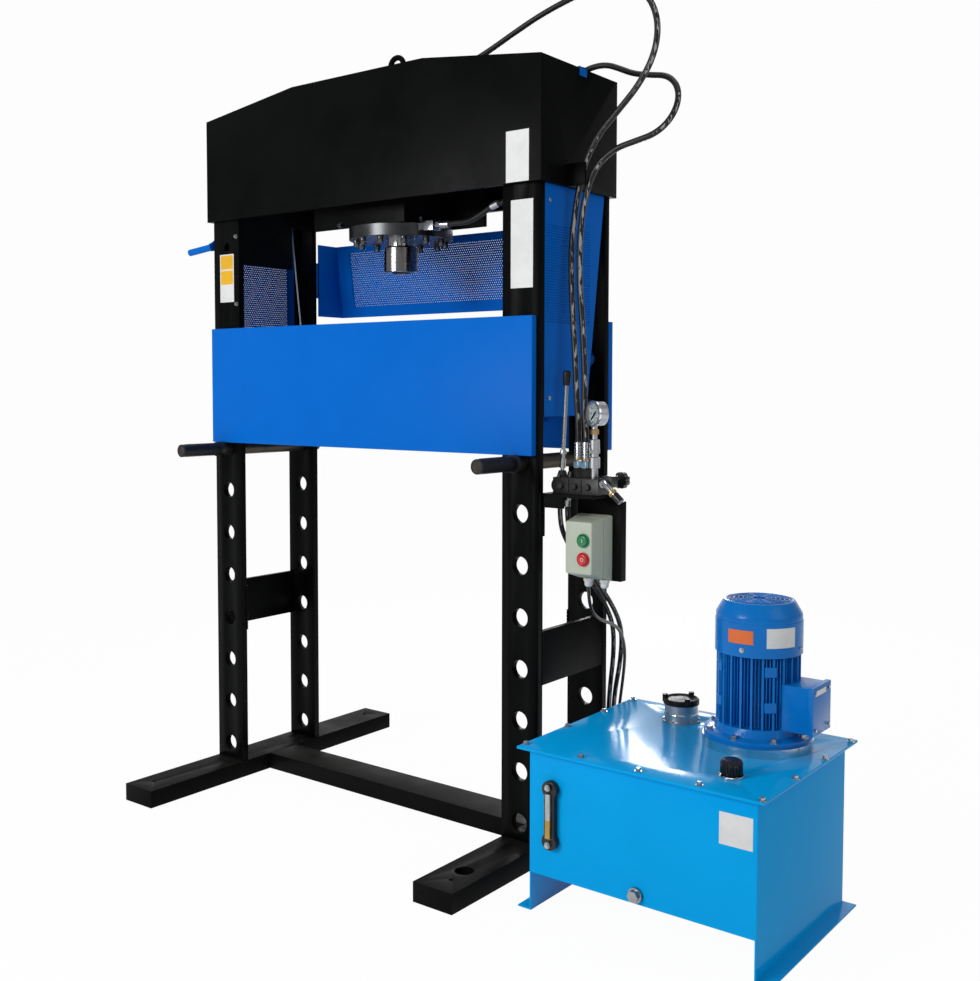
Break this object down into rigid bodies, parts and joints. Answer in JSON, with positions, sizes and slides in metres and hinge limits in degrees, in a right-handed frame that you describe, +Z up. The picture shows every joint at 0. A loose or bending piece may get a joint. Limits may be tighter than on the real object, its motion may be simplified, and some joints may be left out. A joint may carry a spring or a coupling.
{
  "type": "hydraulic workshop press",
  "caption": "H-frame hydraulic workshop press with a hoisted table held on pins, control stand and a separate oil tank with a vertical motor.",
  "frame": {"origin": "on the floor, under the middle of the press frame", "axes": "+X to the right of the press, towards the power pack; +Y to the back; +Z up"},
  "size_m": [2.1125, 1.03, 2.2473],
  "materials": {
    "black_paint": "satin",
    "blue_paint": "satin",
    "tank_paint": "satin",
    "motor_paint": "satin",
    "machined_steel": "satin",
    "dark_steel": "satin",
    "chrome": "polished",
    "zinc": "satin",
    "aluminium": "satin",
    "rubber": "matte",
    "wire_rope": "satin",
    "grey_plastic": "matte",
    "white_plastic": "matte",
    "green_plastic": "gloss",
    "red_plastic": "gloss",
    "black_plastic": "satin",
    "cast_black": "satin"
  },
  "bodies": {
    "frame": {"upright_front_left": "black_paint", "upright_rear_left": "black_paint", "upright_front_right": "black_paint", "upright_rear_right": "black_paint", "strut_left": "black_paint", "strut_right": "black_paint", "foot_left": "black_paint", "foot_right": "black_paint", "cross_beam": "black_paint", "crown": "black_paint", "cylinder_barrel": "black_paint", "cylinder_cradle": "black_paint", "control_stand": "black_paint", "cylinder_flange": "dark_steel", "flange_bolts": "dark_steel", "filler_neck": "chrome", "pump": "aluminium", "hose_fittings": "zinc", "gauge_case": "zinc", "upper_hose": "rubber", "lower_hose": "rubber", "port_hose": "rubber", "pressure_hose": "rubber", "return_hose": "rubber", "motor_cable": "rubber", "gear_case": "cast_black", "valve_body": "cast_black", "guard_right": "blue_paint", "guard_left": "blue_paint", "rear_guard": "blue_paint", "level_gauge": "black_plastic", "starter_box": "grey_plastic", "cable_glands": "white_plastic", "tank": "tank_paint", "tank_lid": "tank_paint", "motor_housing": "motor_paint", "motor_cowl": "motor_paint", "rope_left": "wire_rope", "rope_right": "wire_rope"},
    "ram": {"ram_rod": "chrome", "ram_head": "machined_steel"},
    "table": {"table_front_plate": "blue_paint", "table_rear_plate": "blue_paint", "rope_table": "wire_rope"},
    "left_sheave": {"sheave_left": "machined_steel"},
    "right_sheave": {"sheave_right": "machined_steel"},
    "drum": {"hoist_drum": "machined_steel"},
    "crank": {"hoist_crank": "blue_paint"},
    "left_pin": {"pin_left": "dark_steel", "grip_left": "rubber"},
    "right_pin": {"pin_right": "dark_steel", "grip_right": "rubber"},
    "lever": {"valve_lever": "dark_steel"},
    "wheel": {"hand_wheel": "black_plastic"},
    "start": {"start_button": "green_plastic"},
    "stop": {"stop_button": "red_plastic"},
    "needle": {"gauge_needle": "red_plastic"},
    "rotor": {"motor_rotor": "machined_steel"},
    "filler_lid": {"filler_cap": "black_plastic"},
    "breather_lid": {"breather_cap": "black_plastic"}
  },
  "joints": [
    {"name": "ram_slide", "type": "slide", "parent": "frame", "child": "ram", "axis": [0, 0, -1], "range_m": [0, 0.29]},
    {"name": "table_lift", "type": "slide", "parent": "frame", "child": "table", "axis": [0, 0, 1], "range_m": [0, 0.05], "deforming": ["rope_left", "rope_right"]},
    {"name": "left_sheave_turn", "type": "hinge", "parent": "table", "child": "left_sheave", "pos_m": [-0.448, 0.093, 1.2], "axis": [0, 1, 0], "range_deg": [0, 100]},
    {"name": "right_sheave_turn", "type": "hinge", "parent": "table", "child": "right_sheave", "pos_m": [0.448, 0.093, 1.2], "axis": [0, 1, 0], "range_deg": [0, 100]},
    {"name": "drum_turn", "type": "hinge", "parent": "frame", "child": "drum", "pos_m": [-0.56, 0.07, 1.768], "axis": [0, -1, 0], "range_deg": [0, 175]},
    {"name": "crank_turn", "type": "hinge", "parent": "frame", "child": "crank", "pos_m": [-0.6, -0.021, 1.766], "axis": [-1, 0, 0], "range_deg": [0, 175]},
    {"name": "left_pin_slide", "type": "slide", "parent": "frame", "child": "left_pin", "axis": [0, -1, 0], "range_m": [0, 0.4]},
    {"name": "right_pin_slide", "type": "slide", "parent": "frame", "child": "right_pin", "axis": [0, -1, 0], "range_m": [0, 0.4]},
    {"name": "lever_tilt", "type": "hinge", "parent": "frame", "child": "lever", "pos_m": [0.65, -0.1, 1.01], "axis": [1, 0, 0], "range_deg": [-18, 18], "stiffness_Nm_per_rad": 6},
    {"name": "wheel_turn", "type": "hinge", "parent": "frame", "child": "wheel", "pos_m": [0.793, -0.05, 0.994], "axis": [0, 1, 0], "range_deg": [-360, 720]},
    {"name": "start_press", "type": "slide", "parent": "frame", "child": "start", "axis": [0, 1, 0], "range_m": [0, 0.004], "stiffness_N_per_m": 500},
    {"name": "stop_press", "type": "slide", "parent": "frame", "child": "stop", "axis": [0, 1, 0], "range_m": [0, 0.004], "stiffness_N_per_m": 500},
    {"name": "needle_turn", "type": "hinge", "parent": "frame", "child": "needle", "pos_m": [0.754, -0.1, 1.162], "axis": [0.4384, 0.8988, 0], "range_deg": [0, 270], "stiffness_Nm_per_rad": 0.0005},
    {"name": "rotor_spin", "type": "hinge", "parent": "frame", "child": "rotor", "pos_m": [1.162, -0.035, 0.5], "axis": [0, 0, 1], "continuous": true},
    {"name": "filler_lift", "type": "slide", "parent": "frame", "child": "filler_lid", "axis": [0, 0, 1], "range_m": [0, 0.1]},
    {"name": "breather_lift", "type": "slide", "parent": "frame", "child": "breather_lid", "axis": [0, 0, 1], "range_m": [0, 0.1]}
  ],
  "couplings": [
    {"joint": "left_sheave_turn", "follows": "table_lift", "rad_per_m": 33.333},
    {"joint": "right_sheave_turn", "follows": "table_lift", "rad_per_m": 33.333},
    {"joint": "drum_turn", "follows": "table_lift", "rad_per_m": 59.172},
    {"joint": "crank_turn", "follows": "table_lift", "rad_per_m": 59.172}
  ]
}
